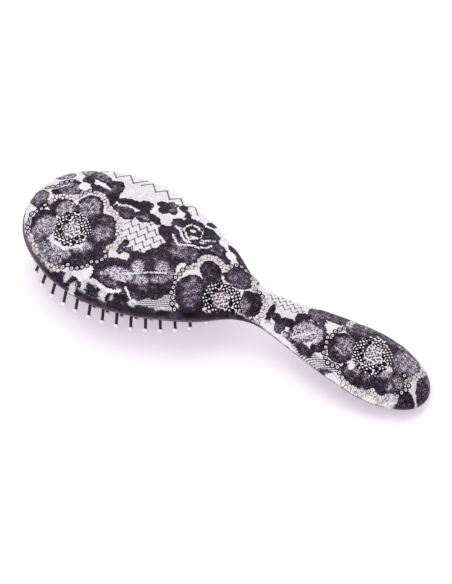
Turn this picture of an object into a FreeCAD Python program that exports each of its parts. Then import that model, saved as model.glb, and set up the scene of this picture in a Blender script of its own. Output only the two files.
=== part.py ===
"""Vanity hairbrush: a two-shell body, a domed rubber cushion, and rings of ball-tipped pins.

Frame: +X runs from the head's tip to the handle's end, +Z is up through the brush's back.
The brush stands on its pin tips and on the underside of the handle's end, so the table is z = 0.
The head's parting plane is level, and the handle curves down from it. Lengths are millimetres.
"""

import FreeCAD, Part

import math
import os

Vector = FreeCAD.Vector
DOC = FreeCAD.newDocument("hairbrush")

# Driving dimensions, in millimetres and degrees. Each name is an alias in the sheet.
DIMENSIONS = {
    # body form
    "length_overall": 225.0,
    "head_plane": 25.0,        # height of the parting plane in the head
    "handle_drop": 19.8,       # how far the handle's end lies below that plane
    "bend_start": -20.0,       # where the handle starts to curve down
    "bend_power": 1.3,
    "back_rise": 9.6,          # back above the parting plane in the head
    "neck_rise": 6.9,
    "handle_rise": 7.8,
    "front_sweep": 22.0,       # depth of the ellipse that gives the head its side wall
    "handle_depth": 7.4,
    "front_depth": 7.5,        # flat front of the head below the parting plane
    "tip_round": 30.0,         # length over which the head's tip rounds off
    "end_round": 14.0,         # the same for the handle's end
    "wall_thickness": 2.2,
    "seam_depth": 3.0,         # seam between the shells below the parting plane
    # cushion opening: an egg of two end arcs joined by two long side arcs
    "egg_tip_centre": -73.0,
    "egg_tip_radius": 33.0,
    "egg_neck_centre": -24.0,
    "egg_neck_radius": 21.0,
    "egg_side_radius": 85.0,
    "egg_middle": -55.0,       # the eggs shrink about this point
    "bead_margin": 1.0,        # groove for the cushion's bead, outside the opening
    "groove_low": 19.1,
    "groove_high": 20.8,
    "rim_margin": 3.0,         # thick wall around the opening
    "rim_top": 21.8,
    # cushion
    "dome_edge": 18.6,         # height of the rubber's outer surface at the opening
    "dome_height": 4.0,
    "rubber": 1.6,
    "rubber_wall": 0.9,        # upright edge that carries the bead
    "cushion_gap": 0.15,
    "vent_radius": 0.8,
    "vent_place": -9.5,
    # pins
    "pin_length": 13.425,      # from the rubber to the ball's centre
    "pin_root_radius": 0.90,
    "pin_end_radius": 0.78,
    "pin_socket": 0.5,         # how far the pin ends short of the ball's centre
    "ball_radius": 1.30,
    "anchor_radius": 1.35,
    "anchor_thick": 0.9,
    "anchor_gap": 0.65,        # play between the anchor head and the rubber's inside
    "pin_hole_gap": 0.06,
    "pin_lean": 22.0,          # outward lean of the outer ring
    "ring_count": 6,
    "outer_ring": 0.935,       # outer ring's egg, as a share of the opening
    "ring_step": 0.155,
    "outer_pins": 36,
    "ring_phase": 0.1,         # where the first pin stands, as a share of the pitch
    "fewer_pins": 6,           # each ring has this many fewer than the one outside it
}

# Half widths of the body seen from above, at distances from the head's tip.
HALF_WIDTHS = [
    (0.8, 7.6), (3.2, 14.2), (8.6, 21.9), (15.1, 27.2), (23.2, 31.9), (33.0, 35.7), (44.0, 37.8),
    (56.2, 38.5), (69.4, 36.5), (83.4, 32.5), (97.8, 26.7), (110.0, 20.2), (120.0, 13.6),
    (127.5, 10.8), (134.5, 9.8), (143.0, 10.8), (155.6, 13.3), (168.7, 15.8), (181.0, 17.7),
    (192.0, 18.6), (201.8, 17.9), (209.9, 15.6), (216.4, 12.6), (221.2, 8.9), (224.2, 4.1),
]


def make_sheet():
    """Put every driving dimension in the spreadsheet under its alias."""
    sheet = DOC.addObject("Spreadsheet::Sheet", "dimensions")
    for row, (alias, number) in enumerate(DIMENSIONS.items(), start=1):
        sheet.set(f"A{row}", alias)
        sheet.set(f"B{row}", str(number))
        sheet.setAlias(f"B{row}", alias)
    DOC.recompute()
    return sheet


SHEET = make_sheet()


def size(alias):
    """A driving dimension, read from the sheet."""
    return float(SHEET.get(alias))


def smooth_between(position, stations):
    """Value at a position, easing in and out between (position, value) stations."""
    for (low, start), (high, end) in zip(stations, stations[1:]):
        if position <= high:
            share = max(0.0, (position - low) / (high - low))
            return start + (end - start) * (1 - math.cos(math.pi * share)) / 2
    return stations[-1][1]


def plane_height(x):
    """Height of the parting surface: level in the head, then curving down to the handle's end."""
    end = size("length_overall") / 2
    share = max(0.0, (x - size("bend_start")) / (end - size("bend_start")))
    return size("head_plane") - size("handle_drop") * share ** size("bend_power")


def end_taper(distance, rounding):
    """Quarter-circle taper to nothing at distance 0."""
    share = min(1.0, distance / rounding)
    return math.sqrt(1 - (1 - share) ** 2)


def section(distance, half_width, inset):
    """One cross-section wire: an upper and a lower half ellipse, moved in by the inset."""
    length = size("length_overall")
    x = distance - length / 2
    taper = end_taper(distance, size("tip_round")) * end_taper(length - distance, size("end_round"))
    share = distance / length
    rise = smooth_between(share, [(0.30, size("back_rise")), (0.62, size("neck_rise")),
                                  (0.86, size("handle_rise"))])
    depth = smooth_between(share, [(0.40, size("front_sweep")), (0.60, size("handle_depth"))])
    width = half_width - inset
    rise = rise * taper - inset
    depth = depth * taper - inset
    middle = plane_height(x)
    arcs = []
    for start, extent in ((0.0, rise), (math.pi, depth)):
        points = []
        for step in range(13):
            angle = start + math.pi * step / 12
            points.append(Vector(x, width * math.cos(angle), middle + extent * math.sin(angle)))
        curve = Part.BSplineCurve()
        curve.interpolate(points)
        arcs.append(curve.toShape())
    return Part.Wire(arcs)


def body_loft(inset):
    """Solid through every section; with an inset it is the hollow inside the shells."""
    sections = []
    if inset == 0.0:
        sections.append(Part.Vertex(Vector(-size("length_overall") / 2, 0, size("head_plane"))))
    for distance, half_width in HALF_WIDTHS:
        near_end = min(distance, size("length_overall") - distance)
        if inset == 0.0 or near_end > inset + 2:
            sections.append(section(distance, half_width, inset))
    if inset == 0.0:
        end = size("length_overall") / 2
        sections.append(Part.Vertex(Vector(end, 0, plane_height(end))))
    return Part.makeLoft(sections, True, False)


def below_parting(offset):
    """Everything below the parting surface moved by the offset, as a tool for cutting."""
    reach = size("length_overall") / 2 + 20
    top = []
    for step in range(24):
        x = -reach + 2 * reach * step / 23
        top.append(Vector(x, -60, plane_height(x) + offset))
    curve = Part.BSplineCurve()
    curve.interpolate(top)
    corners = [top[-1], Vector(reach, -60, -60), Vector(-reach, -60, -60), top[0]]
    edges = [curve.toShape()]
    edges += [Part.LineSegment(a, b).toShape() for a, b in zip(corners, corners[1:])]
    return Part.Face(Part.Wire(edges)).extrude(Vector(0, 120, 0))


def feature(name, shape):
    """Document object that holds a shape made with Part's own functions."""
    item = DOC.addObject("Part::Feature", name)
    item.Label = name
    item.Shape = shape
    return item


def boolean(kind, name, base, tool):
    """Part::Cut, Part::Common or Part::Fuse of two document objects."""
    item = DOC.addObject(kind, name)
    item.Label = name
    item.Base = base
    item.Tool = tool
    return item


def egg_arcs(margin, shrink):
    """The egg's four arcs, counter-clockwise: centre x, centre y, radius, first and last angle."""
    tip_x = size("egg_tip_centre")
    neck_x = size("egg_neck_centre")
    gap = neck_x - tip_x
    to_tip = size("egg_side_radius") - size("egg_tip_radius")
    to_neck = size("egg_side_radius") - size("egg_neck_radius")
    along = (gap ** 2 + to_tip ** 2 - to_neck ** 2) / (2 * gap)
    across = math.sqrt(to_tip ** 2 - along ** 2)
    tip_turn = math.atan2(across, -along)
    neck_turn = math.atan2(across, gap - along)
    arcs = [
        (neck_x, 0.0, size("egg_neck_radius"), -neck_turn, neck_turn),
        (tip_x + along, -across, size("egg_side_radius"), neck_turn, tip_turn),
        (tip_x, 0.0, size("egg_tip_radius"), tip_turn, 2 * math.pi - tip_turn),
        (tip_x + along, across, size("egg_side_radius"), -tip_turn, -neck_turn),
    ]
    middle = size("egg_middle")
    return [(middle + (x - middle) * shrink, y * shrink, (radius + margin) * shrink, first, last)
            for x, y, radius, first, last in arcs]


def egg_wire(margin, shrink, height):
    """The egg as a closed wire at a height."""
    edges = []
    for x, y, radius, first, last in egg_arcs(margin, shrink):
        circle = Part.Circle(Vector(x, y, height), Vector(0, 0, 1), radius)
        edges.append(Part.Arc(circle, first, last).toShape())
    return Part.Wire(edges)


def egg_prism(margin, low, high):
    """The egg extruded between two heights."""
    return Part.Face(egg_wire(margin, 1.0, low)).extrude(Vector(0, 0, high - low))


def egg_points(shrink, count, phase):
    """Evenly spaced points on the egg, each with its outward direction in plan."""
    arcs = egg_arcs(0.0, shrink)
    lengths = [radius * (last - first) for _, _, radius, first, last in arcs]
    points = []
    for number in range(count):
        travel = (number + phase) / count * sum(lengths)
        for (x, y, radius, first, _), length in zip(arcs, lengths):
            if travel <= length:
                angle = first + travel / radius
                break
            travel -= length
        outward = Vector(math.cos(angle), math.sin(angle), 0)
        points.append((Vector(x, y, 0) + outward * radius, outward))
    return points


def dome_level(shrink):
    """Height of the rubber's outer surface on the egg shrunk by this factor."""
    return size("dome_edge") - size("dome_height") * (1 - shrink ** 2)


def dome_solid(margin, lift):
    """Solid between the domed surface and its edge plane, moved up by the lift."""
    profiles = [egg_wire(margin, shrink, dome_level(shrink) + lift)
                for shrink in (1.0, 0.85, 0.7, 0.5, 0.3, 0.12)]
    profiles.append(Part.Vertex(Vector(size("egg_middle"), 0, dome_level(0.0) + lift)))
    return Part.makeLoft(profiles, True, False)


def primitive(kind, name, **expressions):
    """Part primitive whose sizes are bound to the sheet."""
    item = DOC.addObject(kind, name)
    item.Label = name
    for path, expression in expressions.items():
        item.setExpression(path.replace("__", "."), expression)
    return item


def ring_placements(number):
    """Where the pins of one ring stand: origin on the rubber, local +Z towards the ball."""
    shrink = size("outer_ring") - number * size("ring_step")
    count = int(size("outer_pins") - number * size("fewer_pins"))
    lean = math.radians(size("pin_lean")) * shrink / size("outer_ring")
    placements = []
    for point, outward in egg_points(shrink, count, size("ring_phase")):
        towards = outward * math.sin(lean) + Vector(0, 0, -math.cos(lean))
        origin = Vector(point.x, point.y, dome_level(shrink))
        placements.append(FreeCAD.Placement(origin, FreeCAD.Rotation(Vector(0, 0, 1), towards)))
    return placements


def placed_copies(shape, placements):
    """Separate copies of a shape, one at each placement, as one compound."""
    copies = []
    for placement in placements:
        copy = shape.copy()
        copy.Placement = placement
        copies.append(copy)
    return Part.makeCompound(copies)


def build_shells():
    """Back shell and front shell, cut from one lofted form and one hollow."""
    seam = -size("seam_depth")
    front = -size("front_depth")
    low_cut = feature("below_front", below_parting(front))
    low_floor = feature("below_floor", below_parting(front + size("wall_thickness")))
    low_half = feature("below_seam", below_parting(seam))
    form = boolean("Part::Cut", "body_form", feature("body_loft", body_loft(0.0)), low_cut)
    hollow = boolean("Part::Cut", "hollow_form",
                     feature("hollow_loft", body_loft(size("wall_thickness"))), low_floor)
    back_half = boolean("Part::Cut", "back_half", form, low_half)
    front_half = boolean("Part::Common", "front_half", form, low_half)
    back = boolean("Part::Cut", "back_shell", back_half, hollow)
    front_wall = boolean("Part::Cut", "front_wall", front_half, hollow)
    rim = feature("rim_prism", egg_prism(size("rim_margin"), 0.0, size("rim_top")))
    rim_inside = boolean("Part::Common", "rim_inside", form, rim)
    front_thick = boolean("Part::Fuse", "front_thick", front_wall, rim_inside)
    opening = feature("opening_prism", egg_prism(0.0, 0.0, size("head_plane")))
    groove = feature("groove_prism",
                     egg_prism(size("bead_margin"), size("groove_low"), size("groove_high")))
    front_open = boolean("Part::Cut", "front_open", front_thick, opening)
    front_shell = boolean("Part::Cut", "front_shell", front_open, groove)
    return [back, front_shell]


def build_pin_forms():
    """One pin and one ball at the origin, bound to the sheet; the rings are copies of them."""
    shaft = primitive("Part::Cone", "pin_shaft",
                      Radius1="dimensions.pin_root_radius",
                      Radius2="dimensions.pin_end_radius",
                      Height="dimensions.pin_length - dimensions.pin_socket"
                             " + dimensions.rubber + dimensions.anchor_gap",
                      Placement__Base__z="-dimensions.rubber - dimensions.anchor_gap")
    anchor = primitive("Part::Cylinder", "pin_anchor",
                       Radius="dimensions.anchor_radius",
                       Height="dimensions.anchor_thick",
                       Placement__Base__z="-dimensions.rubber - dimensions.anchor_gap"
                                          " - dimensions.anchor_thick")
    ball = primitive("Part::Sphere", "ball_form",
                     Radius="dimensions.ball_radius",
                     Placement__Base__z="dimensions.pin_length")
    socket = primitive("Part::Cylinder", "ball_socket",
                       Radius="dimensions.pin_end_radius + 0.01",
                       Height="dimensions.ball_radius * 2",
                       Placement__Base__z="dimensions.pin_length - dimensions.pin_socket"
                                          " - dimensions.ball_radius * 2")
    pin = boolean("Part::Fuse", "pin_form", shaft, anchor)
    tip = boolean("Part::Cut", "tip_form", ball, socket)
    DOC.recompute()
    return pin, tip


def build_cushion(all_placements):
    """Domed rubber pad with a bead for the groove, a hole for each pin and an air vent."""
    gap = size("cushion_gap")
    rubber = size("rubber")
    wall = size("rubber_wall")
    edge = size("dome_edge")
    top = size("groove_high") - gap
    bead = egg_prism(size("bead_margin") - gap, size("groove_low") + gap, top)
    outside = dome_solid(-gap, 0.0).fuse([egg_prism(-gap, edge, top), bead])
    inside = dome_solid(-gap - wall, rubber).fuse(
        egg_prism(-gap - wall, edge + rubber, top + rubber))
    hole = Part.makeCylinder(size("pin_root_radius") + size("pin_hole_gap"), 4 * rubber,
                             Vector(0, 0, -3 * rubber))
    holes = placed_copies(hole, all_placements)
    vent = Part.makeCylinder(size("vent_radius"), size("head_plane"),
                             Vector(size("vent_place"), 0, 0))
    shape = outside.cut(inside).cut([vent] + holes.Solids)
    return feature("cushion_pad", shape)


def build():
    """Every sub-part of the brush, as document objects whose labels are the node names."""
    nodes = build_shells()
    pin, tip = build_pin_forms()
    all_placements = []
    for number in range(int(size("ring_count"))):
        placements = ring_placements(number)
        all_placements += placements
        nodes.append(feature(f"pins_ring_{number + 1}", placed_copies(pin.Shape, placements)))
        nodes.append(feature(f"tips_ring_{number + 1}", placed_copies(tip.Shape, placements)))
    nodes.append(build_cushion(all_placements))
    DOC.recompute()
    return nodes


def check(nodes):
    """Stop if any object failed, or any sub-part is empty or invalid."""
    for item in DOC.Objects:
        if "Invalid" in item.State or "Error" in item.State:
            raise RuntimeError(f"{item.Name} failed: {item.State}")
    for node in nodes:
        shape = node.Shape
        if shape.isNull() or not shape.isValid() or not shape.Solids:
            raise RuntimeError(f"{node.Label} has no valid solid")


def export(nodes):
    """Write each sub-part to parts/LABEL.step and print its size."""
    os.makedirs("parts", exist_ok=True)
    for node in nodes:
        node.Shape.exportStep(f"parts/{node.Label}.step")
        box = node.Shape.BoundBox
        print(f"{node.Label}: {len(node.Shape.Solids)} solids, {node.Shape.Volume:.0f} mm3,",
              f"z {box.ZMin:.2f} to {box.ZMax:.2f}")


NODES = build()
check(NODES)
export(NODES)
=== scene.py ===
"""Looks for the vanity hairbrush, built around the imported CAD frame.

Lengths in the lists below are millimetres in the part's own frame; meshes are made in metres.
+X runs from the head's tip to the handle's end, +Z is up through the printed back.
"""

import math

import bmesh
import bpy
import numpy as np
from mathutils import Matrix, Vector


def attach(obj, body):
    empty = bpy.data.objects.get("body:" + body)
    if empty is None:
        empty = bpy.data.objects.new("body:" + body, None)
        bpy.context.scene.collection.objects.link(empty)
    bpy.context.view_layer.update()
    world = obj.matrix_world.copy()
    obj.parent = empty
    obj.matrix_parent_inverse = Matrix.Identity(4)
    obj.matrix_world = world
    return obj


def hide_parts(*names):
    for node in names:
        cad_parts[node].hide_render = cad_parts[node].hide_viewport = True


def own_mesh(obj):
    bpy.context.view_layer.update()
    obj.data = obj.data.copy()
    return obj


MM = 0.001

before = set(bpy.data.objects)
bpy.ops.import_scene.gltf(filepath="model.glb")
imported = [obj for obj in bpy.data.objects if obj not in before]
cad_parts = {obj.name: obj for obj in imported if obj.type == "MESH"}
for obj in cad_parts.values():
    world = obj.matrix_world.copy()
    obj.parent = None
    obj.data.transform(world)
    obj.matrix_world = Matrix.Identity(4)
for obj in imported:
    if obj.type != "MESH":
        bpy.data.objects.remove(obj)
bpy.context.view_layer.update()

# ---------------- body form, as in the CAD model

LENGTH = 225.0
HEAD_PLANE = 25.0
HANDLE_DROP = 19.8
BEND_START = -20.0
BEND_POWER = 1.3
TIP_ROUND = 30.0
END_ROUND = 14.0
SEAM_DEPTH = 3.0
WALL = 2.2
RISE = [(0.30, 9.6), (0.62, 6.9), (0.86, 7.8)]
DEPTH = [(0.40, 22.0), (0.60, 7.4)]
HALF_WIDTHS = [
    (0.0, 0.0), (0.8, 7.6), (3.2, 14.2), (8.6, 21.9), (15.1, 27.2), (23.2, 31.9), (33.0, 35.7),
    (44.0, 37.8), (56.2, 38.5), (69.4, 36.5), (83.4, 32.5), (97.8, 26.7), (110.0, 20.2),
    (120.0, 13.6), (127.5, 10.8), (134.5, 9.8), (143.0, 10.8), (155.6, 13.3), (168.7, 15.8),
    (181.0, 17.7), (192.0, 18.6), (201.8, 17.9), (209.9, 15.6), (216.4, 12.6), (221.2, 8.9),
    (224.2, 4.1), (225.0, 0.0),
]


def hermite(x, knots, values):
    """Smooth curve through the knots, with slopes limited so that it never overshoots."""
    knots = np.asarray(knots, float)
    values = np.asarray(values, float)
    step = np.diff(knots)
    rise = np.diff(values) / step
    slope = np.zeros(len(knots))
    same_sign = rise[:-1] * rise[1:] > 0
    weight_a = 2 * step[1:] + step[:-1]
    weight_b = step[1:] + 2 * step[:-1]
    safe_a = np.where(same_sign, rise[:-1], 1.0)
    safe_b = np.where(same_sign, rise[1:], 1.0)
    slope[1:-1] = np.where(same_sign, (weight_a + weight_b) / (weight_a / safe_a + weight_b / safe_b), 0)
    slope[0] = rise[0]
    slope[-1] = rise[-1]
    span = np.clip(np.searchsorted(knots, x) - 1, 0, len(step) - 1)
    t = (x - knots[span]) / step[span]
    h = step[span]
    return ((1 + 2 * t) * (1 - t) ** 2 * values[span] + t * (1 - t) ** 2 * h * slope[span]
            + t * t * (3 - 2 * t) * values[span + 1] + t * t * (t - 1) * h * slope[span + 1])


def half_width(x):
    """Half width of the body seen from above."""
    distance, width = np.array(HALF_WIDTHS).T
    squared = hermite(np.clip(x + LENGTH / 2, 0, LENGTH), distance, width ** 2)
    return np.sqrt(np.maximum(squared, 0))


def eased(share, stations):
    """Value at a share of the length, easing in and out between the stations."""
    result = np.full_like(share, stations[0][1])
    for (low, start), (high, end) in zip(stations, stations[1:]):
        t = np.clip((share - low) / (high - low), 0, 1)
        result = result + (end - start) * (1 - np.cos(np.pi * t)) / 2
    return result


def plane_height(x):
    """Height of the parting plane: level in the head, then curving down."""
    share = np.clip((x - BEND_START) / (LENGTH / 2 - BEND_START), 0, None)
    return HEAD_PLANE - HANDLE_DROP * share ** BEND_POWER


def end_taper(x):
    """Quarter-circle taper to nothing at both ends."""
    from_tip = np.clip((x + LENGTH / 2) / TIP_ROUND, 0, 1)
    from_end = np.clip((LENGTH / 2 - x) / END_ROUND, 0, 1)
    return np.sqrt(1 - (1 - from_tip) ** 2) * np.sqrt(1 - (1 - from_end) ** 2)


def rise_and_depth(x):
    """Height of the back above the plane, and depth of the front's ellipse below it."""
    share = (x + LENGTH / 2) / LENGTH
    taper = end_taper(x)
    return eased(share, RISE) * taper, eased(share, DEPTH) * taper


def stations_along(count):
    """X positions whose spacing follows the outline, so the rounded ends get enough of them."""
    fine = -LENGTH / 2 * np.cos(np.linspace(0, np.pi, 4001))
    run = np.hypot(np.diff(fine), 0.75 * np.diff(half_width(fine)))
    travel = np.concatenate([[0], np.cumsum(run)])
    return np.interp(np.linspace(0, travel[-1], count), travel, fine)


def section_path(x, first, last, count):
    """Points across the body at x, evenly spaced between two angles of the section."""
    angle = np.linspace(first, last, 241)
    width = half_width(np.array([x]))[0]
    rise, depth = (value[0] for value in rise_and_depth(np.array([x])))
    extent = np.where(np.sin(angle) >= 0, rise, depth)
    y = width * np.cos(angle)
    z = plane_height(np.array([x]))[0] + extent * np.sin(angle)
    travel = np.concatenate([[0], np.cumsum(np.hypot(np.diff(y), np.diff(z)))])
    even = np.linspace(0, travel[-1], count)
    return np.interp(even, travel, y), np.interp(even, travel, z), np.minimum(even, travel[-1] - even)


def new_mesh(name, points, faces):
    """Smooth-shaded object from points in millimetres and lists of vertex indices."""
    mesh = bpy.data.meshes.new(name)
    mesh.from_pydata((np.asarray(points) * MM).tolist(), [], faces)
    mesh.update()
    mesh.polygons.foreach_set("use_smooth", [True] * len(mesh.polygons))
    item = bpy.data.objects.new(name, mesh)
    bpy.context.scene.collection.objects.link(item)
    return item


def grid_faces(rows, columns, start=0, flip=False):
    """Quads of a grid of vertices stored row by row."""
    row, column = np.meshgrid(np.arange(rows - 1), np.arange(columns - 1), indexing="ij")
    corner = (start + row * columns + column).ravel()
    quads = np.stack([corner, corner + 1, corner + columns + 1, corner + columns], -1)
    if flip:
        quads = quads[:, ::-1]
    return quads.tolist()


# ---------------- back shell

ALONG = 470
ACROSS = 180
ACROSS_INSIDE = 22


def back_shell_points():
    """Outer and inner skin of the back shell, row by row, and each outer point's travel from the seam."""
    xs = stations_along(ALONG)[1:-1]
    outer = []
    edge = []
    for x in xs:
        rise, depth = (value[0] for value in rise_and_depth(np.array([x])))
        seam = math.asin(min(1.0, SEAM_DEPTH / max(depth, 0.1)))
        y, z, from_seam = section_path(x, -seam, math.pi + seam, ACROSS)
        outer.append(np.stack([np.full(ACROSS, x), y, z], -1))
        edge.append(from_seam)
    outer = np.array(outer)
    inward = np.cross(np.gradient(outer, axis=0), np.gradient(outer, axis=1))
    inward /= np.linalg.norm(inward, axis=-1, keepdims=True)
    pick = np.round(np.linspace(0, ACROSS - 1, ACROSS_INSIDE)).astype(int)
    inner = outer[:, pick] + WALL * inward[:, pick]
    inner[:, 0, 2] = outer[:, 0, 2]
    inner[:, -1, 2] = outer[:, -1, 2]
    return xs, outer, inner, np.array(edge)


def build_back_shell():
    """Dense closed mesh of the printed back shell, with its points, which of them are printed, and their
    travel from the seam.
    """
    xs, outer, inner, edge = back_shell_points()
    rows = len(xs)
    tip = np.array([-LENGTH / 2, 0, plane_height(np.array([-LENGTH / 2]))[0]])
    end = np.array([LENGTH / 2, 0, plane_height(np.array([LENGTH / 2]))[0]])
    points = np.concatenate([outer.reshape(-1, 3), inner.reshape(-1, 3),
                             [tip, end, tip + [WALL, 0, 0], end - [WALL, 0, 0]]])
    inside = rows * ACROSS
    poles = inside + rows * ACROSS_INSIDE
    faces = grid_faces(rows, ACROSS) + grid_faces(rows, ACROSS_INSIDE, inside, flip=True)
    for row in range(rows - 1):
        a = row * ACROSS
        b = a + ACROSS
        c = inside + row * ACROSS_INSIDE
        d = c + ACROSS_INSIDE
        faces.append([a, b, d, c])
        faces.append([a + ACROSS - 1, c + ACROSS_INSIDE - 1, d + ACROSS_INSIDE - 1, b + ACROSS - 1])
    for column in range(ACROSS - 1):
        faces.append([poles, column + 1, column])
        last = (rows - 1) * ACROSS + column
        faces.append([poles + 1, last, last + 1])
    for column in range(ACROSS_INSIDE - 1):
        faces.append([poles + 2, inside + column, inside + column + 1])
        last = inside + (rows - 1) * ACROSS_INSIDE + column
        faces.append([poles + 3, last + 1, last])
    far = inside + (rows - 1) * ACROSS_INSIDE
    last = (rows - 1) * ACROSS
    faces.append([poles, 0, inside, poles + 2])
    faces.append([poles, poles + 2, inside + ACROSS_INSIDE - 1, ACROSS - 1])
    faces.append([poles + 1, poles + 3, far, last])
    faces.append([poles + 1, last + ACROSS - 1, far + ACROSS_INSIDE - 1, poles + 3])
    shell = new_mesh("printed_back_shell", points, faces)
    printed = np.zeros(len(points))
    printed[:inside] = 1
    printed[poles:poles + 2] = 1
    from_seam = np.zeros(len(points))
    from_seam[:inside] = edge.ravel()
    return shell, points, printed, from_seam


# ---------------- the lace print, in plan

# Lobes are ellipses: centre x, centre y, half length, half width, turn in degrees.
DARK_LOBES = [
    # flower at the head's tip
    (-80, 5.5, 7, 7.5, 0), (-93, -0.5, 8.5, 6, -10), (-97, -13, 8.5, 7, -60), (-87, -26, 13, 6, -12),
    (-71, -23, 9, 5.5, 10), (-66, -14.5, 7.5, 6, -20), (-67, -5, 8, 8, 0), (-70, 1.5, 7, 4, 10),
    (-75, -2, 4, 8, 10),
    # flower before the neck
    (4.5, 5.5, 8.5, 6.5, 0), (-9, 1, 6, 5.5, -20), (-12, -14, 8.5, 9.5, 10), (15, -4, 7.5, 6, 10),
    (-6, -3, 5, 4, 0), (-8, -24, 9, 5, 25), (3, -19, 6, 3, 35),
    # flower on the handle
    (65.5, -2.5, 7, 8.5, 0), (70, 11, 8, 5.5, 20), (84, 17.5, 16, 4.5, 0), (96.5, 6.5, 8, 8.5, 20),
    (93, -6.5, 8.5, 5, 15), (79, -12, 10, 4.8, -5), (73, 3, 4, 8, 0), (88, 12, 6, 5, 0),
    # leaf on the head
    (-53, -20.5, 9.5, 6, 25), (-47, -19, 5, 4, -35), (-58, -26, 4.5, 5.5, 20),
    (-50, -27.2, 11, 3.2, -2), (-44, -12, 5.2, 4.6, 20), (-38, -9.5, 7, 6, 25), (-31, -9, 7, 7, 10),
    (-36, -19, 9, 5.5, 20), (-28, -15, 7, 6, 10), (-37, -25.5, 7, 4.5, 10), (-29, -21.5, 6, 4.5, 20),
    (-24, -17.5, 4.5, 3.6, 30),
    # chain from the leaf to the rose
    (-45, -8.8, 4.5, 2.5, 15), (-38, -5, 5, 4, 30), (-33.5, 0.5, 5, 4.5, 40), (-28.5, 3.5, 6, 7, 0),
    (-22, 3.8, 5.5, 6.5, -10), (-20, -1.6, 3.4, 2.6, 0), (-38.5, 10, 5.5, 4, -20),
    (-34, 6.5, 4.5, 3.2, -30), (-27, -4, 4, 4, 0),
    # rose
    (-36, 18, 3.8, 3.4, 0), (-29, 21.5, 5.5, 3.6, 5), (-19, 20, 6.2, 3.8, -20), (-13, 14, 6, 4.6, -15),
    (-7.5, 10.6, 5, 3, -15), (-32, 13.5, 7, 6, 0), (-24, 15, 8, 6.5, 0), (-20, 10, 7, 4, 0),
    # lobes between the rose and the neck
    (-4.5, 18.6, 5.5, 2, -22), (2, 15, 5.5, 2.6, -25), (-22, 27, 2.8, 2, 20), (11, 8.5, 3, 3.5, 0),
    # lobes beyond the rose
    (-48.8, 24.8, 2.9, 2.2, 15), (-44.6, 27.2, 3.2, 2, 10), (-43, 23.6, 3.6, 2.2, -10),
    (-46.6, 21.4, 3, 2.2, 10), (-39, 28.4, 2.4, 2, 40), (-35.6, 25.4, 3.4, 2.2, -45),
    # chain of small leaves
    (-64.8, 17.3, 5.8, 2.3, 18), (-56, 19.4, 4.6, 3.5, 15), (-63.5, 11, 6.8, 4.2, -6),
    (-53, 13.4, 5.5, 3.8, 10), (-47.5, 14, 4, 2.2, -25), (-57.5, 16.4, 5, 1.6, -5),
    # big lobes at the far side of the tip
    (-85.5, 25.5, 7.5, 3.2, -8), (-75.3, 22.5, 4.8, 5.2, -30), (-74, 17, 4, 6, 10),
    (-80.5, 17.2, 7, 2.4, -8), (-89.5, 20.7, 3.4, 2.8, 0), (-94, 26.5, 5, 3, -25),
    (-102.5, 19, 5.5, 3, 30), (-95, 12.8, 6.5, 5, -10), (-98, 8.5, 6, 4, 20),
    (-107.5, 0.8, 5.2, 5.4, 30), (-104, -4, 5, 3, 50), (-73, 12, 3, 3, 0),
    # small flower
    (-54, -5.2, 1.9, 2.2, 0), (-51, -8.2, 2.2, 1.9, 20), (-54.4, -10, 1.9, 2.3, 0),
    (-55.9, -7.4, 1.6, 1.6, 0),
    # handle, between the neck and its flower
    (26.5, -3.4, 1.7, 5, 0), (30, -4.2, 2.4, 2.2, 0), (36, -4, 5, 2.2, 18), (41.5, 1.5, 3, 4, -35),
    (47, 7.6, 5, 4.6, 20), (56, 12.4, 10, 4.4, 12), (52.4, 2.5, 2.4, 4.5, 10), (55.8, -4.6, 3, 5.6, 0),
    (46, -3.5, 8.5, 5.6, 35), (49, -11.8, 5.5, 2.2, -12), (54, -9, 3, 2.2, 0), (33.5, -7.6, 3, 2.8, 0),
    (40.4, -9.6, 4.4, 1.7, -10), (63, -16, 3.2, 1, 10), (91, -10.6, 4.8, 4, 0),
    # end of the handle
    (108.5, 4, 4.2, 12, 12), (104, -12, 6, 6, 30),
    # near side, below the leaf
    (-42, -33.5, 8, 4, 5), (-57, -34, 6, 3, 0), (-72, -34.5, 9, 3, 0), (-30, -33, 8, 3, 15),
]
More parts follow.
